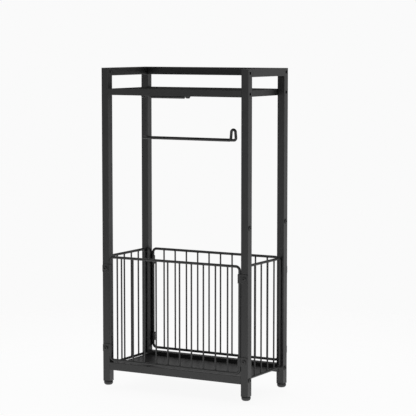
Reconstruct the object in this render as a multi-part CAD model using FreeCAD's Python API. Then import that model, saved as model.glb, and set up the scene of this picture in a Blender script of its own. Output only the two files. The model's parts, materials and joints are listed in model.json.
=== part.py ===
import FreeCAD, Part
import math
import os

# Free-standing toilet paper holder: a frame of square steel tube with a shelf on top, a paper arm
# under the shelf and a wire basket at the bottom. Millimetres, +Z up, front towards -Y. The origin
# is on the floor, under the middle of the frame.

Vector = FreeCAD.Vector
UP = Vector(0, 0, 1)
DOWN = Vector(0, 0, -1)
RIGHT = Vector(1, 0, 0)
BACK = Vector(0, 1, 0)

# Frame
WIDTH = 326.6
DEPTH = 163.0
HEIGHT = 629.2
TUBE = 15.2
TUBE_WALL = 1.2
TUBE_CORNER = 0.6
TUBE_BORE_CORNER = 0.4
INSERT_SIDE = TUBE - 2 * TUBE_WALL - 0.2
INSERT_CORNER = 0.8
POST_BOTTOM = 9.0
SEAM_Z = 345.0
BOTTOM_RAIL_Z = 38.8

# Shelf board
BOARD_TOP = 588.7
BOARD_THICKNESS = 12.5
BOARD_EDGE_ROUND = 0.6

# Splice inside each post
SLEEVE_BOTTOM = 320.0
SLEEVE_TOP = 370.0
SLEEVE_WALL = 1.2
SPLICE_BOLT_Z = 330.0
SPLICE_NUT_THICKNESS = 5.0
SPLICE_NUT_HEIGHT = 12.0

# Caps, plugs and feet
CAP_FLANGE = 1.2
CAP_SKIRT = 3.0
PLUG_FLANGE = 1.0
PLUG_TOP = 29.0
STUD_RADIUS = 3.0
STUD_BOTTOM = 2.0
STUD_TOP = 28.0
STUD_BORE_RADIUS = 3.06
PAD_TOP_RADIUS = 9.0
PAD_FLOOR_RADIUS = 6.3
PAD_HEIGHT = 7.0
PAD_SHOULDER_Z = 3.6
PAD_COLLAR_RADIUS = 7.2

# Bolts and screws: head radius, head height, shank radius, shank length
RAIL_BOLT = (4.8, 1.7, 3.0, 35.0)
SPLICE_BOLT = (5.0, 1.9, 3.0, 11.0)
LUG_SCREW = (4.5, 2.2, 2.5, 11.0)
GUARD_SCREW = (2.9, 2.6, 2.0, 17.0)
SHELF_SCREW = (2.9, 2.2, 1.8, 22.0)
FLOOR_SCREW = (2.8, 1.8, 1.9, 7.0)
ARM_SCREW = (4.3, 3.5, 1.8, 12.0)
HEAD_FLAT_SHARE = 0.55
HEX_KEY_SHARE = 0.75
CROSS_LENGTH_SHARE = 0.9
CROSS_DRIVE_WIDTH = 0.9
BOLT_HOLE_GAP = 0.2
THREAD_GAP = 0.05
ACCESS_HOLE_RADIUS = 3.1
RAIL_INSERT_LENGTH = 20.0

# Basket panels of round wire
FRAME_WIRE = 2.6
INNER_WIRE = 1.6
WIRE_PITCH = 26.5
PANEL_X = 145.3
PANEL_Y = 81.1
PANEL_LOW_Z = 52.0
PANEL_HIGH_Z = 257.0
PANEL_CORNER = 8.0
PANEL_WIRES = 10
SIDE_PANEL_Y = 63.65
SIDE_PANEL_LOW_Z = 41.2
SIDE_PANEL_HIGH_Z = 257.2
SIDE_PANEL_CORNER = 6.0
SIDE_PANEL_WIRES = 4

# Lugs that clip round a panel's end wire and screw to a post
LUG_SHEET = 1.3
LUG_HEIGHT = 17.2
LUG_OUTER_X = 162.9
LUG_LEVELS = (75.0, 234.0)
LUG_CURL_RADIUS = FRAME_WIRE + 0.05
LUG_CORNER = 3.0
LUG_NUT_RADIUS = 4.0
LUG_NUT_LENGTH = 9.0

# Basket floor
FLOOR_TOP = 39.0
FLOOR_SHEET = 1.1
FLOOR_HALF_X = 152.5
FLOOR_FLANGE_BOTTOM = 31.0
FLOOR_BEND = 2.0
FLOOR_SCREW_Z = 34.0
FLOOR_SCREW_PLACES = (-120.0, 0.0, 120.0)

# Paper arm of round rod, with an end loop of thinner wire
ROD = 3.15
ARM_Z = 490.2
ARM_LEFT = -121.0
ARM_DROP_X = -109.3
LEG_RIGHT = -23.2
LEG_GAP = 1.5
TAB_LENGTH = 17.0
TAB_WIDTH = 13.0
TAB_THICKNESS = 3.6
TAB_TRANSITION = 6.0
TAB_NECK_WIDTH = 11.0
EYE_X = -15.0
EYE_RADIUS = 5.8
EYE_NECK_X = -19.6
EYE_NECK_WIDTH = 7.0
ARM_SCREWS_X = (-117.0, EYE_X)
LOOP_WIRE = 2.7
LOOP_START = 78.3
LOOP_X = 87.0
LOOP_ARC = 4.5
LOOP_ARC_Z = 506.0
LOOP_LEAN = 5.0
LOOP_CORNER = 4.5

# Worked out from the above
POST_X = (WIDTH - TUBE) / 2
POST_Y = (DEPTH - TUBE) / 2
OUTER_X = WIDTH / 2
OUTER_Y = DEPTH / 2
INNER_X = OUTER_X - TUBE
INNER_Y = OUTER_Y - TUBE
TOP_RAIL_Z = HEIGHT - TUBE / 2
BOARD_BOTTOM = BOARD_TOP - BOARD_THICKNESS
BOARD_MIDDLE = BOARD_TOP - BOARD_THICKNESS / 2
LEG_Z = BOARD_BOTTOM - LEG_GAP - ROD
POST_TOP = HEIGHT - CAP_FLANGE
PLUG_BOTTOM = POST_BOTTOM - PLUG_FLANGE
SCREW_SEAT_X = INNER_X + TUBE_WALL


def rounded_prism(size_x, size_y, height, corner, base):
    """Upright prism with rounded upright edges; base is the middle of its bottom face."""
    half_x = size_x / 2
    half_y = size_y / 2
    prism = Part.makeBox(size_x, size_y, height, base - Vector(half_x, half_y, 0))
    upright = [edge for edge in prism.Edges if abs(edge.tangentAt(edge.FirstParameter).z) > 0.9]
    return prism.makeFillet(corner, upright)


def square_tube(length):
    """Square tube standing on the origin."""
    outside = rounded_prism(TUBE, TUBE, length, TUBE_CORNER, Vector())
    bore_side = TUBE - 2 * TUBE_WALL
    bore = rounded_prism(bore_side, bore_side, length, TUBE_BORE_CORNER, Vector())
    return outside.cut(bore)


def turned(shape, direction, place):
    """The shape with its own +Z turned to direction and its origin moved to place."""
    result = shape.copy()
    result.Placement = FreeCAD.Placement(place, FreeCAD.Rotation(UP, direction))
    return result


def rod(radius, start, end):
    """Round bar between two points."""
    return Part.makeCylinder(radius, (end - start).Length, start, end - start)


def bend(radius, centre, start_arm, axis, angle):
    """Part of a ring: a round bar of this radius, swept about axis from centre + start_arm."""
    tangent = axis.cross(start_arm)
    section = Part.makeCircle(radius, centre + start_arm, tangent)
    disc = Part.Face(Part.Wire(section))
    return disc.revolve(centre, axis, angle)


def joined(pieces):
    return pieces[0].multiFuse(pieces[1:]).removeSplitter()


def in_corner(shape, side, end):
    """A shape made for the right rear corner, mirrored to another corner."""
    result = shape
    if side < 0:
        result = result.mirror(Vector(), RIGHT)
    if end < 0:
        result = result.mirror(Vector(), BACK)
    return result


def all_corners(shape):
    return [in_corner(shape, side, end) for side in (-1, 1) for end in (-1, 1)]


def group(shapes):
    return Part.makeCompound(shapes)


# Fasteners. Each one has its seat on the origin, its head above and its shank below.

def hex_recess(across_flats, depth, top):
    corner_radius = across_flats / math.sqrt(3)
    corners = [math.radians(60 * step) for step in range(7)]
    points = [Vector(corner_radius * math.cos(a), corner_radius * math.sin(a), top) for a in corners]
    return Part.Face(Part.makePolygon(points)).extrude(DOWN * depth)


def cross_recess(length, depth, top):
    half_length = length / 2
    half_width = CROSS_DRIVE_WIDTH / 2
    corner = Vector(-half_length, -half_width, top - depth)
    slot = Part.makeBox(length, CROSS_DRIVE_WIDTH, depth, corner)
    other = slot.copy()
    other.rotate(Vector(), UP, 90)
    return slot.fuse(other)


def domed_head(radius, height):
    """Button head: short straight rim, then a dome with a flat top for the drive."""
    rim = Vector(radius, 0, height * 0.25)
    dome = Vector(radius * 0.86, 0, height * 0.8)
    flat = Vector(radius * HEAD_FLAT_SHARE, 0, height)
    outline = [
        Part.makeLine(Vector(), RIGHT * radius),
        Part.makeLine(RIGHT * radius, rim),
        Part.Arc(rim, dome, flat).toShape(),
        Part.makeLine(flat, UP * height),
        Part.makeLine(UP * height, Vector()),
    ]
    return Part.Face(Part.Wire(outline)).revolve(Vector(), UP, 360)


def hex_bolt(size):
    head_radius, head_height, shank_radius, shank_length = size
    bolt = domed_head(head_radius, head_height)
    bolt = bolt.fuse(rod(shank_radius, Vector(), DOWN * shank_length))
    return bolt.cut(hex_recess(head_radius * HEX_KEY_SHARE, head_height * 0.7, head_height))


def cross_screw(size):
    head_radius, head_height, shank_radius, shank_length = size
    tip = shank_radius * 1.5
    screw = domed_head(head_radius, head_height)
    screw = screw.fuse(rod(shank_radius, Vector(), DOWN * (shank_length - tip)))
    point = Part.makeCone(shank_radius, 0.4, tip, DOWN * (shank_length - tip), DOWN)
    screw = screw.fuse(point)
    return screw.cut(cross_recess(head_radius * CROSS_LENGTH_SHARE, head_height * 0.6, head_height))


def screw_hole(radius, start, end):
    return rod(radius, start, end)


# Posts, in the right rear corner

def lower_post():
    tube = square_tube(SEAM_Z - POST_BOTTOM)
    tube.translate(Vector(POST_X, POST_Y, POST_BOTTOM))
    bolt_hole = RAIL_BOLT[2] + BOLT_HOLE_GAP
    rail_hole = Vector(INNER_X - 1, POST_Y, BOTTOM_RAIL_Z)
    splice_hole = Vector(POST_X, POST_Y, SPLICE_BOLT_Z)
    holes = [
        screw_hole(bolt_hole, rail_hole, rail_hole + RIGHT * (TUBE + 2)),
        screw_hole(bolt_hole, splice_hole, splice_hole + RIGHT * TUBE),
    ]
    for level in LUG_LEVELS:
        nut_hole = Vector(POST_X, POST_Y, level)
        holes.append(screw_hole(LUG_NUT_RADIUS, nut_hole, nut_hole + BACK * TUBE))
    return tube.cut(holes)


def upper_post():
    tube = square_tube(POST_TOP - SEAM_Z)
    tube.translate(Vector(POST_X, POST_Y, SEAM_Z))
    holes = []
    for level, screw in ((TOP_RAIL_Z, GUARD_SCREW), (BOARD_MIDDLE, SHELF_SCREW)):
        middle = Vector(POST_X, POST_Y, level)
        holes.append(screw_hole(ACCESS_HOLE_RADIUS, middle, middle + RIGHT * TUBE))
        holes.append(screw_hole(screw[2] + BOLT_HOLE_GAP, middle, middle - RIGHT * TUBE))
    return tube.cut(holes)


def post_cap():
    flange = rounded_prism(TUBE, TUBE, CAP_FLANGE, TUBE_CORNER, Vector(POST_X, POST_Y, POST_TOP))
    top_edges = [edge for edge in flange.Edges if edge.BoundBox.ZMin > HEIGHT - 0.01]
    flange = flange.makeFillet(0.4, top_edges)
    skirt_base = Vector(POST_X, POST_Y, POST_TOP - CAP_SKIRT)
    skirt = rounded_prism(INSERT_SIDE, INSERT_SIDE, CAP_SKIRT, INSERT_CORNER, skirt_base)
    return flange.fuse(skirt)


def splice_sleeve():
    base = Vector(POST_X, POST_Y, SLEEVE_BOTTOM)
    length = SLEEVE_TOP - SLEEVE_BOTTOM
    bore_side = INSERT_SIDE - 2 * SLEEVE_WALL
    outside = rounded_prism(INSERT_SIDE, INSERT_SIDE, length, INSERT_CORNER, base)
    bore = Part.makeBox(bore_side, bore_side, length, base - Vector(bore_side / 2, bore_side / 2, 0))
    middle = Vector(POST_X, POST_Y, SPLICE_BOLT_Z)
    hole = screw_hole(SPLICE_BOLT[2] + BOLT_HOLE_GAP, middle, middle + RIGHT * TUBE)
    return outside.cut([bore, hole])


def splice_nut():
    bore_side = INSERT_SIDE - 2 * SLEEVE_WALL
    width = bore_side - 0.2
    outer_face = POST_X + bore_side / 2 - 0.05
    corner = Vector(
        outer_face - SPLICE_NUT_THICKNESS,
        POST_Y - width / 2,
        SPLICE_BOLT_Z - SPLICE_NUT_HEIGHT / 2,
    )
    block = Part.makeBox(SPLICE_NUT_THICKNESS, width, SPLICE_NUT_HEIGHT, corner)
    middle = Vector(POST_X - TUBE, POST_Y, SPLICE_BOLT_Z)
    return block.cut(screw_hole(SPLICE_BOLT[2] + THREAD_GAP, middle, middle + RIGHT * 2 * TUBE))


def splice_bolt():
    return turned(hex_bolt(SPLICE_BOLT), RIGHT, Vector(OUTER_X, POST_Y, SPLICE_BOLT_Z))


# Rails

def rail_along_x(y, z):
    return turned(square_tube(2 * INNER_X), RIGHT, Vector(-INNER_X, y, z))


def rail_insert(bore_radius, y, z):
    """Threaded block inside the right end of a rail."""
    block = rounded_prism(INSERT_SIDE, INSERT_SIDE, RAIL_INSERT_LENGTH, INSERT_CORNER, Vector())
    block = block.cut(screw_hole(bore_radius, DOWN, UP * (RAIL_INSERT_LENGTH + 1)))
    return turned(block, RIGHT, Vector(INNER_X - RAIL_INSERT_LENGTH, y, z))


def top_side_rail():
    return turned(square_tube(2 * INNER_Y), BACK, Vector(POST_X, -INNER_Y, TOP_RAIL_Z))


def bottom_rear_rail():
    rail = rail_along_x(POST_Y, BOTTOM_RAIL_Z)
    inner_face = INNER_Y - 1
    holes = []
    for x in FLOOR_SCREW_PLACES:
        start = Vector(x, inner_face, FLOOR_SCREW_Z)
        holes.append(screw_hole(FLOOR_SCREW[2], start, start + BACK * TUBE / 2))
    return rail.cut(holes)


def bottom_rail_bolt():
    return turned(hex_bolt(RAIL_BOLT), RIGHT, Vector(OUTER_X, POST_Y, BOTTOM_RAIL_Z))


def guard_screw():
    return turned(cross_screw(GUARD_SCREW), RIGHT, Vector(SCREW_SEAT_X, POST_Y, TOP_RAIL_Z))


# Shelf

def shelf_screw():
    return turned(cross_screw(SHELF_SCREW), RIGHT, Vector(SCREW_SEAT_X, POST_Y, BOARD_MIDDLE))


def arm_screws():
    seat = BOARD_BOTTOM - TAB_THICKNESS
    return [turned(cross_screw(ARM_SCREW), DOWN, Vector(x, 0, seat)) for x in ARM_SCREWS_X]


def shelf_board():
    corner = Vector(-INNER_X, -OUTER_Y, BOARD_BOTTOM)
    board = Part.makeBox(2 * INNER_X, DEPTH, BOARD_THICKNESS, corner)
    long_edges = [edge for edge in board.Edges if abs(edge.tangentAt(edge.FirstParameter).x) > 0.9]
    board = board.makeFillet(BOARD_EDGE_ROUND, long_edges)
    return board.cut(all_corners(shelf_screw()) + arm_screws())


# Basket panels of welded wire

def wire_frame(half_length, low, high, corner):
    """Rounded rectangle of the thick wire in the XZ plane."""
    inner = half_length - corner
    pieces = []
    for z in (low, high):
        pieces.append(rod(FRAME_WIRE, Vector(-inner, 0, z), Vector(inner, 0, z)))
    for side in (-1, 1):
        x = side * half_length
        pieces.append(rod(FRAME_WIRE, Vector(x, 0, low + corner), Vector(x, 0, high - corner)))
        upper = Vector(side * inner, 0, high - corner)
        lower = Vector(side * inner, 0, low + corner)
        pieces.append(bend(FRAME_WIRE, upper, UP * corner, BACK, 90 * side))
        pieces.append(bend(FRAME_WIRE, lower, DOWN * corner, BACK, -90 * side))
    return pieces


def inner_wires(count, low, high):
    first = -WIRE_PITCH * (count - 1) / 2
    places = [first + WIRE_PITCH * index for index in range(count)]
    return [rod(INNER_WIRE, Vector(x, 0, low), Vector(x, 0, high)) for x in places]


def rear_panel():
    pieces = wire_frame(PANEL_X, PANEL_LOW_Z, PANEL_HIGH_Z, PANEL_CORNER)
    pieces += inner_wires(PANEL_WIRES, PANEL_LOW_Z, PANEL_HIGH_Z)
    panel = joined(pieces)
    panel.translate(BACK * PANEL_Y)
    return panel


def right_side_panel():
    pieces = wire_frame(SIDE_PANEL_Y, SIDE_PANEL_LOW_Z, SIDE_PANEL_HIGH_Z, SIDE_PANEL_CORNER)
    pieces += inner_wires(SIDE_PANEL_WIRES, SIDE_PANEL_LOW_Z, SIDE_PANEL_HIGH_Z)
    panel = joined(pieces)
    panel.rotate(Vector(), UP, 90)
    panel.translate(RIGHT * POST_X)
    return panel


# Lugs, in the right rear corner

def lug(level):
    bottom = level - LUG_HEIGHT / 2
    wire_centre = Vector(PANEL_X, PANEL_Y, bottom)
    curl = Part.makeCylinder(LUG_CURL_RADIUS + LUG_SHEET, LUG_HEIGHT, wire_centre)
    curl = curl.cut(Part.makeCylinder(LUG_CURL_RADIUS, LUG_HEIGHT, wire_centre))
    post_space = Part.makeBox(TUBE, 2 * TUBE, LUG_HEIGHT, Vector(INNER_X, OUTER_Y - 2 * TUBE, bottom))
    curl = curl.cut(post_space)
    flat_corner = Vector(INNER_X, OUTER_Y, bottom)
    flat = Part.makeBox(LUG_OUTER_X - INNER_X, LUG_SHEET, LUG_HEIGHT, flat_corner)
    end_edges = [
        edge
        for edge in flat.Edges
        if edge.BoundBox.XMin > LUG_OUTER_X - 0.01 and edge.BoundBox.YLength > LUG_SHEET / 2
    ]
    flat = flat.makeFillet(LUG_CORNER, end_edges)
    hole = Vector(POST_X, OUTER_Y - 1, level)
    flat = flat.cut(screw_hole(LUG_SCREW[2] + BOLT_HOLE_GAP, hole, hole + BACK * 4))
    return joined([flat, curl])


def lug_screw(level):
    return turned(hex_bolt(LUG_SCREW), BACK, Vector(POST_X, OUTER_Y + LUG_SHEET, level))


def lug_nut(level):
    outer = Vector(POST_X, OUTER_Y, level)
    inner = Vector(POST_X, OUTER_Y - LUG_NUT_LENGTH, level)
    return rod(LUG_NUT_RADIUS, outer, inner).cut(rod(LUG_SCREW[2] + THREAD_GAP, outer, inner))


def rear_lugs():
    shapes = [lug(level) for level in LUG_LEVELS]
    return [in_corner(shape, side, 1) for shape in shapes for side in (-1, 1)]


# Basket floor

def floor_section(half_y, top, bottom, corner):
    """Upside-down U in the YZ plane, as a face at the left end of the floor."""
    x = -FLOOR_HALF_X
    slope = corner * (1 - math.sqrt(0.5))
    points = [
        Vector(x, -half_y, bottom),
        Vector(x, -half_y, top - corner),
        Vector(x, -half_y + corner, top),
        Vector(x, half_y - corner, top),
        Vector(x, half_y, top - corner),
        Vector(x, half_y, bottom),
    ]
    left_middle = Vector(x, -half_y + slope, top - slope)
    right_middle = Vector(x, half_y - slope, top - slope)
    outline = [
        Part.makeLine(points[0], points[1]),
        Part.Arc(points[1], left_middle, points[2]).toShape(),
        Part.makeLine(points[2], points[3]),
        Part.Arc(points[3], right_middle, points[4]).toShape(),
        Part.makeLine(points[4], points[5]),
        Part.makeLine(points[5], points[0]),
    ]
    return Part.Face(Part.Wire(outline))


def floor_screws():
    seat_y = INNER_Y - 0.1 - FLOOR_SHEET
    screws = []
    for end in (-1, 1):
        for x in FLOOR_SCREW_PLACES:
            place = Vector(x, end * seat_y, FLOOR_SCREW_Z)
            screws.append(turned(cross_screw(FLOOR_SCREW), BACK * -end, place))
    return screws


def basket_floor():
    half_y = INNER_Y - 0.1
    length = RIGHT * 2 * FLOOR_HALF_X
    outside = floor_section(half_y, FLOOR_TOP, FLOOR_FLANGE_BOTTOM, FLOOR_BEND)
    inside = floor_section(
        half_y - FLOOR_SHEET, FLOOR_TOP - FLOOR_SHEET, FLOOR_FLANGE_BOTTOM, FLOOR_BEND - FLOOR_SHEET
    )
    sheet = outside.extrude(length).cut(inside.extrude(length))
    return sheet.cut(floor_screws())


# Paper arm

def tab(x_low, x_high):
    """Flattened end of the top leg, against the underside of the shelf board."""
    size = x_high - x_low
    base = Vector((x_low + x_high) / 2, 0, BOARD_BOTTOM - TAB_THICKNESS)
    return rounded_prism(size, TAB_WIDTH, TAB_THICKNESS, TAB_WIDTH / 2 - 2.5, base)


def pressed_flat(round_x, flat_x, width):
    """Where the round leg is pressed to a flat of this width."""
    circle = Part.Wire(Part.makeCircle(ROD, Vector(round_x, 0, LEG_Z), RIGHT))
    half = width / 2
    low = BOARD_BOTTOM - TAB_THICKNESS
    flat = Part.makePolygon([
        Vector(flat_x, -half, low),
        Vector(flat_x, half, low),
        Vector(flat_x, half, BOARD_BOTTOM),
        Vector(flat_x, -half, BOARD_BOTTOM),
        Vector(flat_x, -half, low),
    ])
    return Part.makeLoft([circle, flat], True, True)


def arm_top_leg():
    """Leg under the shelf board, with a flattened tab at its left end and a round eye at its right."""
    left_flat = ARM_LEFT + TAB_LENGTH
    left_round = left_flat + TAB_TRANSITION
    eye_base = Vector(EYE_X, 0, BOARD_BOTTOM - TAB_THICKNESS)
    leg = joined([
        tab(ARM_LEFT, left_flat),
        pressed_flat(left_round, left_flat, TAB_NECK_WIDTH),
        rod(ROD, Vector(left_round, 0, LEG_Z), Vector(LEG_RIGHT, 0, LEG_Z)),
        pressed_flat(LEG_RIGHT, EYE_NECK_X, EYE_NECK_WIDTH),
        Part.makeCylinder(EYE_RADIUS, TAB_THICKNESS, eye_base),
    ])
    holes = []
    for x in ARM_SCREWS_X:
        low = Vector(x, 0, BOARD_BOTTOM - 2 * ROD)
        holes.append(screw_hole(ARM_SCREW[2] + BOLT_HOLE_GAP, low, low + UP * 3 * ROD))
    return leg.cut(holes)


def arm_straight():
    return rod(ROD, Vector(ARM_LEFT + ROD, 0, ARM_Z), Vector(LOOP_START, 0, ARM_Z))


def arm_drop():
    top = Vector(ARM_DROP_X, 0, BOARD_BOTTOM - TAB_THICKNESS)
    return rod(ROD, Vector(ARM_DROP_X, 0, ARM_Z), top).cut(arm_straight())


def arm_bar():
    """Straight bar with a rounded left end."""
    return joined([arm_straight(), Part.makeSphere(ROD, Vector(ARM_LEFT + ROD, 0, ARM_Z))])


def arm_end_loop():
    """Narrow closed loop that carries on from the bar; its two legs lean towards each other."""
    lean = math.radians(LOOP_LEAN)
    outward = Vector(math.cos(lean), 0, math.sin(lean))
    arc_centre = Vector(LOOP_X, 0, LOOP_ARC_Z)
    right_top = arc_centre + outward * LOOP_ARC
    left_top = Vector(2 * LOOP_X - right_top.x, 0, right_top.z)
    spread = (right_top.z - ARM_Z) * math.tan(lean)
    corner_x = right_top.x + spread - LOOP_CORNER * (1 + math.sin(lean)) / math.cos(lean)
    corner_centre = Vector(corner_x, 0, ARM_Z + LOOP_CORNER)
    return joined([
        rod(LOOP_WIRE, Vector(LOOP_START, 0, ARM_Z), Vector(corner_x, 0, ARM_Z)),
        bend(LOOP_WIRE, corner_centre, DOWN * LOOP_CORNER, BACK, -90 - LOOP_LEAN),
        rod(LOOP_WIRE, corner_centre + outward * LOOP_CORNER, right_top),
        bend(LOOP_WIRE, arc_centre, outward * LOOP_ARC, BACK, 2 * LOOP_LEAN - 180),
        rod(LOOP_WIRE, left_top, Vector(left_top.x - spread, 0, ARM_Z)),
    ])


# Feet, in the right rear corner

def foot_plug():
    flange = rounded_prism(TUBE, TUBE, PLUG_FLANGE, TUBE_CORNER, Vector(POST_X, POST_Y, PLUG_BOTTOM))
    body_base = Vector(POST_X, POST_Y, POST_BOTTOM)
    body = rounded_prism(INSERT_SIDE, INSERT_SIDE, PLUG_TOP - POST_BOTTOM, INSERT_CORNER, body_base)
    bore_start = Vector(POST_X, POST_Y, PLUG_BOTTOM - 1)
    bore = screw_hole(STUD_BORE_RADIUS, bore_start, Vector(POST_X, POST_Y, PLUG_TOP + 1))
    return flange.fuse(body).cut(bore)


def foot_stud():
    return rod(STUD_RADIUS, Vector(POST_X, POST_Y, STUD_BOTTOM), Vector(POST_X, POST_Y, STUD_TOP))


def foot_pad():
    """Round pad that narrows to the floor, with a collar that stops against the plug."""
    shoulder = PAD_TOP_RADIUS - 0.4
    bulge = (PAD_TOP_RADIUS + PAD_FLOOR_RADIUS) / 2 + 0.35
    outline = [
        Part.makeLine(Vector(0, 0, 0), Vector(PAD_FLOOR_RADIUS, 0, 0)),
        Part.Arc(
            Vector(PAD_FLOOR_RADIUS, 0, 0),
            Vector(bulge, 0, PAD_SHOULDER_Z * 0.4),
            Vector(PAD_TOP_RADIUS, 0, PAD_SHOULDER_Z),
        ).toShape(),
        Part.makeLine(
            Vector(PAD_TOP_RADIUS, 0, PAD_SHOULDER_Z), Vector(PAD_TOP_RADIUS, 0, PAD_HEIGHT - 0.4)
        ),
        Part.makeLine(Vector(PAD_TOP_RADIUS, 0, PAD_HEIGHT - 0.4), Vector(shoulder, 0, PAD_HEIGHT)),
        Part.makeLine(Vector(shoulder, 0, PAD_HEIGHT), Vector(PAD_COLLAR_RADIUS, 0, PAD_HEIGHT)),
        Part.makeLine(
            Vector(PAD_COLLAR_RADIUS, 0, PAD_HEIGHT), Vector(PAD_COLLAR_RADIUS, 0, PLUG_BOTTOM)
        ),
        Part.makeLine(Vector(PAD_COLLAR_RADIUS, 0, PLUG_BOTTOM), Vector(0, 0, PLUG_BOTTOM)),
        Part.makeLine(Vector(0, 0, PLUG_BOTTOM), Vector(0, 0, 0)),
    ]
    pad = Part.Face(Part.Wire(outline)).revolve(Vector(), UP, 360)
    pad.translate(Vector(POST_X, POST_Y, 0))
    return pad.cut(foot_stud())


def corner_parts():
    """Pieces that each corner has as a node of its own."""
    makers = {
        "lower_post": lower_post,
        "upper_post": upper_post,
        "foot_pad": foot_pad,
        "foot_stud": foot_stud,
    }
    parts = {}
    for name, make in makers.items():
        shape = make()
        for end_name, end in (("front", -1), ("rear", 1)):
            for side_name, side in (("left", -1), ("right", 1)):
                parts[f"{name}_{end_name}_{side_name}"] = in_corner(shape, side, end)
    return parts


def frame_parts():
    bottom_rail = bottom_rear_rail()
    side_rail = top_side_rail()
    guard_insert = rail_insert(GUARD_SCREW[2] + THREAD_GAP, POST_Y, TOP_RAIL_Z)
    bottom_insert = rail_insert(RAIL_BOLT[2] + THREAD_GAP, POST_Y, BOTTOM_RAIL_Z)
    return {
        "post_caps": group(all_corners(post_cap())),
        "splice_sleeves": group(all_corners(splice_sleeve())),
        "splice_nuts": group(all_corners(splice_nut())),
        "splice_bolts": group(all_corners(splice_bolt())),
        "top_rail_left": in_corner(side_rail, -1, 1),
        "top_rail_right": side_rail,
        "top_rail_back": rail_along_x(POST_Y, TOP_RAIL_Z),
        "top_rail_inserts": group([in_corner(guard_insert, side, 1) for side in (-1, 1)]),
        "top_rail_screws": group([in_corner(guard_screw(), side, 1) for side in (-1, 1)]),
        "bottom_rail_front": in_corner(bottom_rail, 1, -1),
        "bottom_rail_rear": bottom_rail,
        "bottom_rail_inserts": group(all_corners(bottom_insert)),
        "bottom_rail_bolts": group(all_corners(bottom_rail_bolt())),
        "foot_plugs": group(all_corners(foot_plug())),
    }


def basket_parts():
    panel = rear_panel()
    side_panel = right_side_panel()
    lugs = rear_lugs()
    screws = []
    nuts = []
    for level in LUG_LEVELS:
        screws += all_corners(lug_screw(level))
        nuts += all_corners(lug_nut(level))
    return {
        "basket_panel_front": in_corner(panel, 1, -1),
        "basket_panel_rear": panel,
        "basket_panel_left": in_corner(side_panel, -1, 1),
        "basket_panel_right": side_panel,
        "panel_lugs_front": group([in_corner(shape, 1, -1) for shape in lugs]),
        "panel_lugs_rear": group(lugs),
        "lug_screws": group(screws),
        "lug_nuts": group(nuts),
        "basket_floor": basket_floor(),
        "floor_screws": group(floor_screws()),
    }


def shelf_parts():
    return {
        "shelf_board": shelf_board(),
        "shelf_screws": group(all_corners(shelf_screw())),
        "arm_top_leg": arm_top_leg(),
        "arm_drop": arm_drop(),
        "arm_bar": arm_bar(),
        "arm_end_loop": arm_end_loop(),
        "arm_screws": group(arm_screws()),
    }


def main():
    os.makedirs("parts", exist_ok=True)
    parts = {**corner_parts(), **frame_parts(), **basket_parts(), **shelf_parts()}
    for name, shape in parts.items():
        shape.exportStep(f"parts/{name}.step")


main()
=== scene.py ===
import json
import math

import bmesh
import bpy
from mathutils import Matrix, Vector

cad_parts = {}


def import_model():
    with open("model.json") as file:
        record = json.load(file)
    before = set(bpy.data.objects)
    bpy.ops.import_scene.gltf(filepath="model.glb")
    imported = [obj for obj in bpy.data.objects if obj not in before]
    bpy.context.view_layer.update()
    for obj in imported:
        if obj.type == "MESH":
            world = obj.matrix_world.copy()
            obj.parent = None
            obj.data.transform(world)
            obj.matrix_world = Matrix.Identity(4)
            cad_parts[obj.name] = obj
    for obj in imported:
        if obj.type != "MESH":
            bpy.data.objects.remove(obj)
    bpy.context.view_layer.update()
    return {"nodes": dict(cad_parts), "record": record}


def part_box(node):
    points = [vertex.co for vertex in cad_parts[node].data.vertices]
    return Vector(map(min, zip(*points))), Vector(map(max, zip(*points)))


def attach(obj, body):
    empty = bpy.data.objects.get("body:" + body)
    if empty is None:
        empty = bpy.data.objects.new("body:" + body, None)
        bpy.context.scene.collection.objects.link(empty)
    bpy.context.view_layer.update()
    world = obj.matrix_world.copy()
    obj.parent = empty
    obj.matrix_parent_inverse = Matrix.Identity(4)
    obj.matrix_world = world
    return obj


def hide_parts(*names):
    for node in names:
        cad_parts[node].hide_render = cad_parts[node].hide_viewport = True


MM = 0.001
UP = Vector((0, 0, 1))

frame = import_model()
nodes = frame["nodes"]

CORNERS = [(end, side) for end in ("front", "rear") for side in ("left", "right")]

# Camera: place in metres, turns in degrees, lens and sensor in millimetres
CAMERA_PLACE = (1.6772, -2.8966, 0.6855)
CAMERA_PITCH = 5.65
CAMERA_TURN = 29.62
CAMERA_LENS = 148.0
CAMERA_SENSOR = 36
CAMERA_REACH = 50

# Backdrop, and the light that comes from it: shares of BACKGROUND by height along SKY_TOWARDS
BACKGROUND = 0.956
SKY_TOWARDS = (-0.25, 0.1, 1.0)
SKY_SHARE = 0.27
GROUND_SHARE = 1.3
HORIZON_LOW = -0.28
HORIZON_HIGH = 0.12
ZENITH_SHARE = 0.6
ZENITH_START = 0.4
ZENITH_END = 0.9

# Floor: a disc that fades out between two distances from the object
FLOOR_WHITE = 0.95
FLOOR_GLOW = 0.9
FLOOR_SEEN = 1.07
FLOOR_LIGHT_FRONT = 1.8
FLOOR_LIGHT_BACK = 0.8
FLOOR_FADE_START = 0.45
FLOOR_FADE_END = 1.1
FLOOR_RADIUS = 1.2
FOOT_TRAVEL = 8.0 * MM

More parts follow.
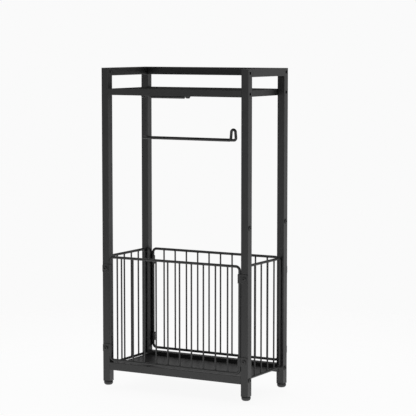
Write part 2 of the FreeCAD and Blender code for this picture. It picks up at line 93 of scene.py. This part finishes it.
# Surface colours: the darker and the lighter patches, and the lighter edges: on the coat partly thinner
# coat and partly painted sheen, on the plastic painted sheen, on the screw heads a painted highlight
COAT_DARK = (0.0048, 0.0048, 0.005)
COAT_LIGHT = (0.0075, 0.0075, 0.0077)
COAT_EDGE_WEAR_SHEEN = (0.016, 0.016, 0.0165)
BOARD_DARK = (0.009, 0.0089, 0.0088)
BOARD_LIGHT = (0.0165, 0.0163, 0.016)
BAND_DARK = (0.0052, 0.0052, 0.0053)
BAND_LIGHT = (0.009, 0.009, 0.009)
PLASTIC_DARK = (0.012, 0.012, 0.0122)
PLASTIC_LIGHT = (0.018, 0.018, 0.0183)
PLASTIC_EDGE_SHEEN = (0.022, 0.022, 0.022)
OXIDE_DARK = (0.0045, 0.0045, 0.0047)
OXIDE_LIGHT = (0.0085, 0.0083, 0.0081)
OXIDE_EDGE_HIGHLIGHT = (0.03, 0.03, 0.03)
ZINC_DARK = (0.5, 0.51, 0.53)
ZINC_LIGHT = (0.62, 0.63, 0.64)
NOISE_LOW = 0.3
NOISE_HIGH = 0.7

# Wire panels
FRAME_WIRE = 2.6 * MM
INNER_WIRE = 1.6 * MM
WIRE_PITCH = 26.5 * MM
PANEL_WIRES = 10
SIDE_PANEL_WIRES = 4

# Weld seams and fillets
POST_SEAM_HEIGHTS = (0.15, 0.5, 0.85)
POST_SEAM_LENGTH = 12 * MM
POST_SEAM_RADIUS = 0.95 * MM
POST_SEAM_BEADS = 7
RAIL_SEAM_INSET = 1.2 * MM
RAIL_SEAM_RADIUS = 0.9 * MM
RAIL_SEAM_BEADS = 8
ROD_FILLET = 1.3 * MM
ROD_SINK = 0.8 * MM
LOOP_FILLET = 0.7 * MM

# Shelf board
BAND_THICKNESS = 0.8 * MM
BAND_BEVEL = 0.3 * MM
JOINT_BEVEL = 0.12 * MM

# Levelling feet
THREAD_PITCH = 1.0 * MM
THREAD_DEPTH = 0.55 * MM
PAD_FLOOR_RADIUS = 6.3 * MM
PAD_SHOULDER = 3.6 * MM
PAD_HEIGHT = 7.0 * MM
PAD_COLLAR_RADIUS = 7.2 * MM
PAD_BULGE = 0.18


# Node tools for the materials

def new_material(name):
    material = bpy.data.materials.new(name)
    material.use_nodes = True
    tree = material.node_tree
    shader = tree.nodes["Principled BSDF"]
    return material, tree, shader


def noise(tree, scale, detail=2.0, stretch=(1, 1, 1)):
    """Noise value in object space; scale is in features per metre."""
    place = tree.nodes.new("ShaderNodeTexCoord")
    mapping = tree.nodes.new("ShaderNodeMapping")
    mapping.inputs["Scale"].default_value = stretch
    texture = tree.nodes.new("ShaderNodeTexNoise")
    texture.inputs["Scale"].default_value = scale
    texture.inputs["Detail"].default_value = detail
    tree.links.new(place.outputs["Object"], mapping.inputs["Vector"])
    tree.links.new(mapping.outputs["Vector"], texture.inputs["Vector"])
    return texture.outputs["Fac"]


def ramp(tree, value, low, high, out_low, out_high):
    """Maps value from low..high to out_low..out_high, clamped."""
    node = tree.nodes.new("ShaderNodeMapRange")
    node.inputs["From Min"].default_value = low
    node.inputs["From Max"].default_value = high
    node.inputs["To Min"].default_value = out_low
    node.inputs["To Max"].default_value = out_high
    tree.links.new(value, node.inputs["Value"])
    return node.outputs["Result"]


def spread(tree, value, out_low, out_high):
    """Maps the usual range of a noise value to out_low..out_high."""
    return ramp(tree, value, NOISE_LOW, NOISE_HIGH, out_low, out_high)


def math_node(tree, operation, first, second):
    node = tree.nodes.new("ShaderNodeMath")
    node.operation = operation
    for socket, value in zip(node.inputs, (first, second)):
        if isinstance(value, (int, float)):
            socket.default_value = value
        else:
            tree.links.new(value, socket)
    return node.outputs["Value"]


def blend_colours(tree, factor, dark, light):
    node = tree.nodes.new("ShaderNodeMix")
    node.data_type = "RGBA"
    sockets = {socket.identifier: socket for socket in node.inputs}
    tree.links.new(factor, sockets["Factor_Float"])
    for name, value in (("A_Color", dark), ("B_Color", light)):
        if isinstance(value, tuple):
            sockets[name].default_value = (*value, 1)
        else:
            tree.links.new(value, sockets[name])
    results = {socket.identifier: socket for socket in node.outputs}
    return results["Result_Color"]


def patchy(tree, value, dark, light):
    """Colour that varies from dark to light with a noise value."""
    return blend_colours(tree, spread(tree, value, 0, 1), dark, light)


def edge_wear_and_sheen(tree, edges, share, colour, edge_colour):
    """Colour with a share of edge_colour along the edges: a painted sheen along them, on the coat also
    its thinner edges.
    """
    return blend_colours(tree, math_node(tree, "MULTIPLY", edges, share), colour, edge_colour)


def weighted_sum(tree, first, first_share, second, second_share):
    first_part = math_node(tree, "MULTIPLY", first, first_share)
    second_part = math_node(tree, "MULTIPLY", second, second_share)
    return math_node(tree, "ADD", first_part, second_part)


def rounded_edges(tree, radius):
    """Normal of the surface as if its sharp edges were rounded, and a mask of those edges."""
    bevel = tree.nodes.new("ShaderNodeBevel")
    bevel.samples = 4
    bevel.inputs["Radius"].default_value = radius
    geometry = tree.nodes.new("ShaderNodeNewGeometry")
    dot = tree.nodes.new("ShaderNodeVectorMath")
    dot.operation = "DOT_PRODUCT"
    tree.links.new(bevel.outputs["Normal"], dot.inputs[0])
    tree.links.new(geometry.outputs["Normal"], dot.inputs[1])
    return bevel.outputs["Normal"], ramp(tree, dot.outputs["Value"], 0.97, 0.8, 0, 1)


def bump(tree, height, strength, distance, normal=None):
    node = tree.nodes.new("ShaderNodeBump")
    node.inputs["Strength"].default_value = strength
    node.inputs["Distance"].default_value = distance
    tree.links.new(height, node.inputs["Height"])
    if normal is not None:
        tree.links.new(normal, node.inputs["Normal"])
    return node.outputs["Normal"]


# Materials, one for each slot of the record

def powder_coat():
    """Semi-gloss black coat: soft orange peel, slightly thinner along sharp edges, where the colour is
    lighter, partly for the thin coat and partly as painted sheen.
    """
    material, tree, shader = new_material("powder_coat")
    edge_normal, edges = rounded_edges(tree, 0.7 * MM)
    patches = noise(tree, 35, 3)
    peel = noise(tree, 520, 1.5)
    grain = noise(tree, 2600, 2)
    # Edges lighter in colour: partly thinner coat, partly painted sheen
    colour = edge_wear_and_sheen(tree, edges, 0.5, patchy(tree, patches, COAT_DARK, COAT_LIGHT), COAT_EDGE_WEAR_SHEEN)
    rough = spread(tree, weighted_sum(tree, patches, 0.6, grain, 0.4), 0.33, 0.45)
    height = weighted_sum(tree, peel, 0.7, grain, 0.3)
    tree.links.new(colour, shader.inputs["Base Color"])
    tree.links.new(rough, shader.inputs["Roughness"])
    tree.links.new(bump(tree, height, 0.5, 0.14 * MM, edge_normal), shader.inputs["Normal"])
    return material


def laminated_board():
    """Matt black laminate with a fine embossed grain along the board."""
    material, tree, shader = new_material("laminated_board")
    grain = noise(tree, 420, 4, (0.06, 1, 1))
    streaks = noise(tree, 60, 3, (0.15, 1, 1))
    colour = patchy(tree, streaks, BOARD_DARK, BOARD_LIGHT)
    shader.inputs["Specular IOR Level"].default_value = 0.05
    tree.links.new(colour, shader.inputs["Base Color"])
    tree.links.new(spread(tree, grain, 0.72, 0.86), shader.inputs["Roughness"])
    tree.links.new(bump(tree, grain, 0.4, 0.12 * MM), shader.inputs["Normal"])
    return material


def edge_banding():
    """Satin band glued round the board's edges."""
    material, tree, shader = new_material("edge_banding")
    pores = noise(tree, 900, 3, (0.1, 0.1, 1))
    streaks = noise(tree, 50, 3, (0.3, 0.3, 1))
    colour = patchy(tree, streaks, BAND_DARK, BAND_LIGHT)
    tree.links.new(colour, shader.inputs["Base Color"])
    tree.links.new(spread(tree, pores, 0.4, 0.52), shader.inputs["Roughness"])
    tree.links.new(bump(tree, pores, 0.2, 0.06 * MM), shader.inputs["Normal"])
    return material


def moulded_plastic():
    """Matt black plastic with a fine stipple and a painted sheen along its edges."""
    material, tree, shader = new_material("moulded_plastic")
    edge_normal, edges = rounded_edges(tree, 0.4 * MM)
    stipple = noise(tree, 1800, 2)
    patches = noise(tree, 60, 2)
    # Edges lighter in colour: painted sheen
    colour = edge_wear_and_sheen(tree, edges, 0.4, patchy(tree, patches, PLASTIC_DARK, PLASTIC_LIGHT), PLASTIC_EDGE_SHEEN)
    tree.links.new(colour, shader.inputs["Base Color"])
    tree.links.new(spread(tree, stipple, 0.42, 0.58), shader.inputs["Roughness"])
    tree.links.new(bump(tree, stipple, 0.35, 0.08 * MM, edge_normal), shader.inputs["Normal"])
    return material


def black_oxide():
    """Satin black screw heads, slightly mottled, with a painted highlight along their edges."""
    material, tree, shader = new_material("black_oxide")
    edge_normal, edges = rounded_edges(tree, 0.3 * MM)
    mottle = noise(tree, 700, 3)
    # Edges much lighter in colour: a painted highlight round the screw heads
    colour = edge_wear_and_sheen(tree, edges, 0.4, patchy(tree, mottle, OXIDE_DARK, OXIDE_LIGHT), OXIDE_EDGE_HIGHLIGHT)
    tree.links.new(colour, shader.inputs["Base Color"])
    tree.links.new(spread(tree, mottle, 0.38, 0.52), shader.inputs["Roughness"])
    tree.links.new(bump(tree, mottle, 0.2, 0.05 * MM, edge_normal), shader.inputs["Normal"])
    return material


def zinc_plate():
    """Bright zinc with soft patches and fine marks along Z."""
    material, tree, shader = new_material("zinc_plate")
    brushed = noise(tree, 900, 3, (1, 1, 0.1))
    spangle = noise(tree, 160, 2)
    colour = patchy(tree, spangle, ZINC_DARK, ZINC_LIGHT)
    shader.inputs["Metallic"].default_value = 1.0
    tree.links.new(colour, shader.inputs["Base Color"])
    tree.links.new(spread(tree, brushed, 0.26, 0.42), shader.inputs["Roughness"])
    tree.links.new(bump(tree, brushed, 0.15, 0.05 * MM), shader.inputs["Normal"])
    return material


MATERIALS = {
    "powder_coated_steel": powder_coat(),
    "black_board": laminated_board(),
    "black_plastic": moulded_plastic(),
    "black_fastener": black_oxide(),
    "zinc_steel": zinc_plate(),
}
BANDING = edge_banding()


def paint_cad_nodes():
    for row in frame["record"]["subparts"]:
        node = nodes[row["node"]]
        for index in range(len(node.data.materials)):
            node.data.materials[index] = MATERIALS[row["material_slot"]]


# Mesh tools

def revolved(builder, profile, place, segments=32, ripple=0.0, turn=None):
    """Closed body of revolution about +Z from (radius, height) points, first and last on the axis."""
    turn = turn or Matrix.Identity(3)
    rings = []
    for radius, height in profile:
        if radius < 1e-7:
            rings.append([builder.verts.new(place + turn @ Vector((0, 0, height)))])
            continue
        ring = []
        for step in range(segments):
            angle = math.tau * step / segments
            swell = 1 + ripple * math.sin(5 * angle)
            point = Vector((radius * swell * math.cos(angle), radius * swell * math.sin(angle), height))
            ring.append(builder.verts.new(place + turn @ point))
        rings.append(ring)
    for low, high in zip(rings, rings[1:]):
        for step in range(segments):
            other = (step + 1) % segments
            if len(low) == 1:
                builder.faces.new((low[0], high[other], high[step]))
            elif len(high) == 1:
                builder.faces.new((low[step], low[other], high[0]))
            else:
                builder.faces.new((low[step], low[other], high[other], high[step]))


def piece_from(builder, name, slot, body, material=None):
    mesh = bpy.data.meshes.new(name)
    bmesh.ops.recalc_face_normals(builder, faces=builder.faces)
    builder.to_mesh(mesh)
    builder.free()
    mesh.materials.append(material or MATERIALS[slot])
    mesh.shade_smooth()
    piece = bpy.data.objects.new(name, mesh)
    bpy.context.scene.collection.objects.link(piece)
    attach(piece, body)
    return piece


def bevelled_block(builder, low, high, bevel):
    made = bmesh.ops.create_cube(builder, size=1)
    middle = (low + high) / 2
    for corner in made["verts"]:
        corner.co = middle + Vector(a * b for a, b in zip(corner.co, high - low))
    edges = list({edge for corner in made["verts"] for edge in corner.link_edges})
    bmesh.ops.bevel(builder, geom=edges, offset=bevel, segments=3, profile=0.5, affect="EDGES")


# Shelf board

def shelf_board():
    """Laminated panel with a band round its four edges; the joint shows as a fine line."""
    low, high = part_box("shelf_board")
    band = Vector((BAND_THICKNESS, BAND_THICKNESS, 0))
    builder = bmesh.new()
    bevelled_block(builder, low + band, high - band, JOINT_BEVEL)
    panel = piece_from(builder, "shelf_panel", "black_board", "frame")
    panel.data.shade_flat()
    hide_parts("shelf_board")
    builder = bmesh.new()
    for y in (low.y, high.y - BAND_THICKNESS):
        start = Vector((low.x, y, low.z))
        end = Vector((high.x, y + BAND_THICKNESS, high.z))
        bevelled_block(builder, start, end, BAND_BEVEL)
    for x in (low.x, high.x - BAND_THICKNESS):
        start = Vector((x, low.y + BAND_THICKNESS, low.z))
        end = Vector((x + BAND_THICKNESS, high.y - BAND_THICKNESS, high.z))
        bevelled_block(builder, start, end, JOINT_BEVEL)
    bands = piece_from(builder, "shelf_bands", "black_board", "frame", BANDING)
    bands.data.shade_flat()


# Weld seams

def wire_weld(builder, place, direction):
    """Small fillet where an inner wire meets the thick wire; place is on the thick wire's axis."""
    turn = UP.rotation_difference(direction).to_matrix()
    profile = [
        (0, FRAME_WIRE - 1.75 * MM),
        (INNER_WIRE + 0.55 * MM, FRAME_WIRE - 1.25 * MM),
        (INNER_WIRE + 0.65 * MM, FRAME_WIRE - 0.35 * MM),
        (INNER_WIRE + 0.4 * MM, FRAME_WIRE + 0.1 * MM),
        (INNER_WIRE + 0.12 * MM, FRAME_WIRE + 0.45 * MM),
        (INNER_WIRE - 0.02 * MM, FRAME_WIRE + 0.95 * MM),
        (0, FRAME_WIRE + 1.0 * MM),
    ]
    revolved(builder, profile, place, 20, 0.05, turn)


def panel_welds(node, count, along):
    """Welds at both ends of every inner wire of a panel that runs along X or Y."""
    low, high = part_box(node)
    middle = (low + high) / 2
    builder = bmesh.new()
    for index in range(count):
        offset = WIRE_PITCH * (index - (count - 1) / 2)
        place = middle.copy()
        place[along] += offset
        for z, direction in ((low.z + FRAME_WIRE, UP), (high.z - FRAME_WIRE, -UP)):
            wire_weld(builder, Vector((place.x, place.y, z)), direction)
    piece_from(builder, "welds_" + node, "powder_coated_steel", "frame")


def seam(builder, start, end, radius, beads):
    """Row of overlapping weld drops between two points."""
    axis = (end - start).normalized()
    turn = UP.rotation_difference(axis).to_matrix()
    length = (end - start).length
    rings = beads * 6
    profile = [(0, 0)]
    for step in range(1, rings):
        share = step / rings
        taper = min(1, 5 * share, 5 * (1 - share)) ** 0.5
        ripple = 0.86 + 0.14 * abs(math.sin(math.pi * beads * share))
        profile.append((radius * taper * ripple, share * length))
    profile.append((0, length))
    revolved(builder, profile, start, 12, 0, turn)


def side_panel_seams():
    """Each side panel is welded to its two posts at three heights."""
    for side in ("left", "right"):
        node = "basket_panel_" + side
        low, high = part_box(node)
        x = (low.x + high.x) / 2
        builder = bmesh.new()
        for y in (low.y, high.y):
            inward = FRAME_WIRE * (0.45 if y < 0 else -0.45)
            for height in POST_SEAM_HEIGHTS:
                z = low.z + height * (high.z - low.z)
                for shift in (-0.69 * FRAME_WIRE, 0.69 * FRAME_WIRE):
                    start = Vector((x + shift, y + inward, z - POST_SEAM_LENGTH / 2))
                    seam(builder, start, start + UP * POST_SEAM_LENGTH, POST_SEAM_RADIUS, POST_SEAM_BEADS)
        piece_from(builder, "welds_post_" + node, "powder_coated_steel", "frame")


def guard_rail_seams():
    """Fillet under each side guard rail, where it meets the front and the rear post."""
    for side in ("left", "right"):
        low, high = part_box("top_rail_" + side)
        builder = bmesh.new()
        for y in (low.y, high.y):
            start = Vector((low.x + RAIL_SEAM_INSET, y, low.z))
            end = Vector((high.x - RAIL_SEAM_INSET, y, low.z))
            seam(builder, start, end, RAIL_SEAM_RADIUS, RAIL_SEAM_BEADS)
        piece_from(builder, "welds_top_rail_" + side, "powder_coated_steel", "frame")


def collar(builder, place, direction, rod, height):
    """Fillet round a rod that stands on something at place."""
    turn = UP.rotation_difference(direction).to_matrix()
    profile = [
        (0, -rod * 0.5),
        (rod + height * 0.8, -rod * 0.3),
        (rod + height * 0.8, height * 0.1),
        (rod + height * 0.45, height * 0.35),
        (rod + height * 0.15, height * 0.7),
        (rod - 0.02 * MM, height * 1.15),
        (0, height * 1.2),
    ]
    revolved(builder, profile, place, 32, 0.03, turn)


def arm_welds():
    """Fillets at both ends of the drop rod, and where the end loop meets the bar."""
    drop_low, drop_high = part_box("arm_drop")
    bar_low, bar_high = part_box("arm_bar")
    loop_low, loop_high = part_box("arm_end_loop")
    x = (drop_low.x + drop_high.x) / 2
    rod = (drop_high.x - drop_low.x) / 2
    builder = bmesh.new()
    collar(builder, Vector((x, 0, drop_high.z)), -UP, rod, ROD_FILLET)
    collar(builder, Vector((x, 0, bar_high.z - ROD_SINK)), UP, rod, ROD_FILLET)
    wire = (loop_high.y - loop_low.y) / 2
    start = Vector((bar_high.x, 0, (bar_low.z + bar_high.z) / 2))
    collar(builder, start, Vector((1, 0, 0)), wire, LOOP_FILLET)
    piece_from(builder, "welds_arm", "powder_coated_steel", "frame")


# Levelling feet

def foot_pad(corner):
    """Round pad with a narrow sole, a swollen side and a collar on top."""
    node = "foot_pad_" + corner
    low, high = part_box(node)
    place = Vector(((low.x + high.x) / 2, (low.y + high.y) / 2, 0))
    radius = (high.x - low.x) / 2
    top = high.z
    profile = [(0, 0.5 * MM), (PAD_FLOOR_RADIUS - 2 * MM, 0.5 * MM), (PAD_FLOOR_RADIUS - 1.6 * MM, 0)]
    profile += [(PAD_FLOOR_RADIUS - 0.4 * MM, 0), (PAD_FLOOR_RADIUS, 0.15 * MM)]
    swell = radius - PAD_FLOOR_RADIUS
    for step in range(1, 9):
        share = step / 8
        bulge = PAD_BULGE * math.sin(math.pi * share)
        profile.append((PAD_FLOOR_RADIUS + swell * min(1, share + bulge), PAD_SHOULDER * share))
    profile += [(radius, PAD_HEIGHT - 0.5 * MM), (radius - 0.15 * MM, PAD_HEIGHT - 0.15 * MM)]
    profile += [(radius - 0.5 * MM, PAD_HEIGHT), (PAD_COLLAR_RADIUS + 0.2 * MM, PAD_HEIGHT)]
    profile += [(PAD_COLLAR_RADIUS, PAD_HEIGHT + 0.2 * MM), (PAD_COLLAR_RADIUS, top - 0.2 * MM)]
    profile += [(PAD_COLLAR_RADIUS - 0.2 * MM, top), (0, top)]
    builder = bmesh.new()
    revolved(builder, profile, place, 64)
    pad = piece_from(builder, "pad_" + corner, "black_plastic", "foot_" + corner)
    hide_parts(node)


def foot_thread(corner):
    """Threaded stud: its radius follows a helix."""
    node = "foot_stud_" + corner
    low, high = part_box(node)
    place = Vector(((low.x + high.x) / 2, (low.y + high.y) / 2, 0))
    radius = (high.x - low.x) / 2
    around = 24
    rows_per_turn = 8
    rows = int((high.z - low.z) / THREAD_PITCH * rows_per_turn)
    builder = bmesh.new()
    rings = []
    for row in range(rows + 1):
        z = low.z + (high.z - low.z) * row / rows
        ring = []
        for step in range(around):
            angle = math.tau * step / around
            phase = ((z - low.z) / THREAD_PITCH + step / around) % 1
            wave = abs(2 * phase - 1)
            end_taper = min(1, row / rows_per_turn, (rows - row) / rows_per_turn)
            crest = radius - THREAD_DEPTH + THREAD_DEPTH * wave * end_taper
            point = Vector((crest * math.cos(angle), crest * math.sin(angle), z))
            ring.append(builder.verts.new(place + point))
        rings.append(ring)
    for lower, upper in zip(rings, rings[1:]):
        for step in range(around):
            other = (step + 1) % around
            builder.faces.new((lower[step], lower[other], upper[other], upper[step]))
    builder.faces.new(list(reversed(rings[0])))
    builder.faces.new(rings[-1])
    stud = piece_from(builder, "stud_" + corner, "zinc_steel", "foot_" + corner)
    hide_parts(node)


# Studio

def floor_material():
    """White floor that melts into the background away from the object.

    It lights the object more than it shows: strongly towards the front, weakly towards the back.
    """
    material = bpy.data.materials.new("pale_floor")
    material.use_nodes = True
    tree = material.node_tree
    tree.nodes.clear()
    place = tree.nodes.new("ShaderNodeTexCoord")
    distance = tree.nodes.new("ShaderNodeVectorMath")
    distance.operation = "LENGTH"
    tree.links.new(place.outputs["Object"], distance.inputs[0])
    fade = ramp(tree, distance.outputs["Value"], FLOOR_FADE_START, FLOOR_FADE_END, 0, 1)
    white = tree.nodes.new("ShaderNodeBsdfDiffuse")
    white.inputs["Color"].default_value = (FLOOR_WHITE, FLOOR_WHITE, FLOOR_WHITE, 1)
    glow = tree.nodes.new("ShaderNodeEmission")
    glow.inputs["Color"].default_value = (BACKGROUND, BACKGROUND, BACKGROUND, 1)
    path = tree.nodes.new("ShaderNodeLightPath")
    split = tree.nodes.new("ShaderNodeSeparateXYZ")
    tree.links.new(place.outputs["Object"], split.inputs["Vector"])
    front, back = -FLOOR_FADE_START, FLOOR_FADE_START
    given = ramp(tree, split.outputs["Y"], front, back, FLOOR_LIGHT_FRONT, FLOOR_LIGHT_BACK)
    strength = tree.nodes.new("ShaderNodeMix")
    tree.links.new(path.outputs["Is Camera Ray"], strength.inputs["Factor"])
    tree.links.new(given, strength.inputs["A"])
    strength.inputs["B"].default_value = FLOOR_SEEN
    tree.links.new(strength.outputs["Result"], glow.inputs["Strength"])
    clear = tree.nodes.new("ShaderNodeBsdfTransparent")
    lit = tree.nodes.new("ShaderNodeMixShader")
    lit.inputs["Fac"].default_value = FLOOR_GLOW
    tree.links.new(white.outputs["BSDF"], lit.inputs[1])
    tree.links.new(glow.outputs["Emission"], lit.inputs[2])
    mix = tree.nodes.new("ShaderNodeMixShader")
    output = tree.nodes.new("ShaderNodeOutputMaterial")
    tree.links.new(fade, mix.inputs["Fac"])
    tree.links.new(lit.outputs["Shader"], mix.inputs[1])
    tree.links.new(clear.outputs["BSDF"], mix.inputs[2])
    tree.links.new(mix.outputs["Shader"], output.inputs["Surface"])
    return material


def studio_floor():
    """Disc at the lowest reach of the feet, so that no foot sinks into it when screwed out."""
    mesh = bpy.data.meshes.new("floor")
    builder = bmesh.new()
    bmesh.ops.create_circle(builder, cap_ends=True, radius=FLOOR_RADIUS, segments=96)
    builder.to_mesh(mesh)
    builder.free()
    mesh.materials.append(floor_material())
    floor = bpy.data.objects.new("floor", mesh)
    floor.location = (0, 0, -FOOT_TRAVEL)
    bpy.context.scene.collection.objects.link(floor)


def world():
    """Even white backdrop; what lights the object is another sky, which only light rays see.

    It is bright below a leaning horizon, dark above it, and brighter again straight overhead.
    """
    made = bpy.data.worlds.new("studio")
    made.use_nodes = True
    tree = made.node_tree
    backdrop = tree.nodes["Background"]
    backdrop.inputs["Color"].default_value = (BACKGROUND, BACKGROUND, BACKGROUND, 1)
    place = tree.nodes.new("ShaderNodeTexCoord")
    height = tree.nodes.new("ShaderNodeVectorMath")
    height.operation = "DOT_PRODUCT"
    height.inputs[1].default_value = SKY_TOWARDS
    tree.links.new(place.outputs["Generated"], height.inputs[0])
    towards = height.outputs["Value"]
    low_share = ramp(tree, towards, HORIZON_LOW, HORIZON_HIGH, GROUND_SHARE, SKY_SHARE)
    high_share = ramp(tree, towards, ZENITH_START, ZENITH_END, 0, ZENITH_SHARE)
    share = math_node(tree, "ADD", low_share, high_share)
    light = tree.nodes.new("ShaderNodeBackground")
    light.inputs["Color"].default_value = (BACKGROUND, BACKGROUND, BACKGROUND, 1)
    tree.links.new(share, light.inputs["Strength"])
    path = tree.nodes.new("ShaderNodeLightPath")
    mix = tree.nodes.new("ShaderNodeMixShader")
    tree.links.new(path.outputs["Is Camera Ray"], mix.inputs["Fac"])
    tree.links.new(light.outputs["Background"], mix.inputs[1])
    tree.links.new(backdrop.outputs["Background"], mix.inputs[2])
    tree.links.new(mix.outputs["Shader"], tree.nodes["World Output"].inputs["Surface"])
    bpy.context.scene.world = made


def camera():
    data = bpy.data.cameras.new("camera")
    data.lens = CAMERA_LENS
    data.sensor_width = CAMERA_SENSOR
    data.clip_end = CAMERA_REACH
    made = bpy.data.objects.new("camera", data)
    made.location = CAMERA_PLACE
    made.rotation_euler = (math.radians(90 - CAMERA_PITCH), 0, math.radians(CAMERA_TURN))
    bpy.context.scene.collection.objects.link(made)
    bpy.context.scene.camera = made


camera()
paint_cad_nodes()
shelf_board()
for side_name in ("front", "rear"):
    panel_welds("basket_panel_" + side_name, PANEL_WIRES, 0)
for side_name in ("left", "right"):
    panel_welds("basket_panel_" + side_name, SIDE_PANEL_WIRES, 1)
side_panel_seams()
guard_rail_seams()
arm_welds()
for end_name, side_name in CORNERS:
    foot_pad(f"{end_name}_{side_name}")
    foot_thread(f"{end_name}_{side_name}")
studio_floor()
world()
bpy.context.scene.view_settings.view_transform = "Standard"
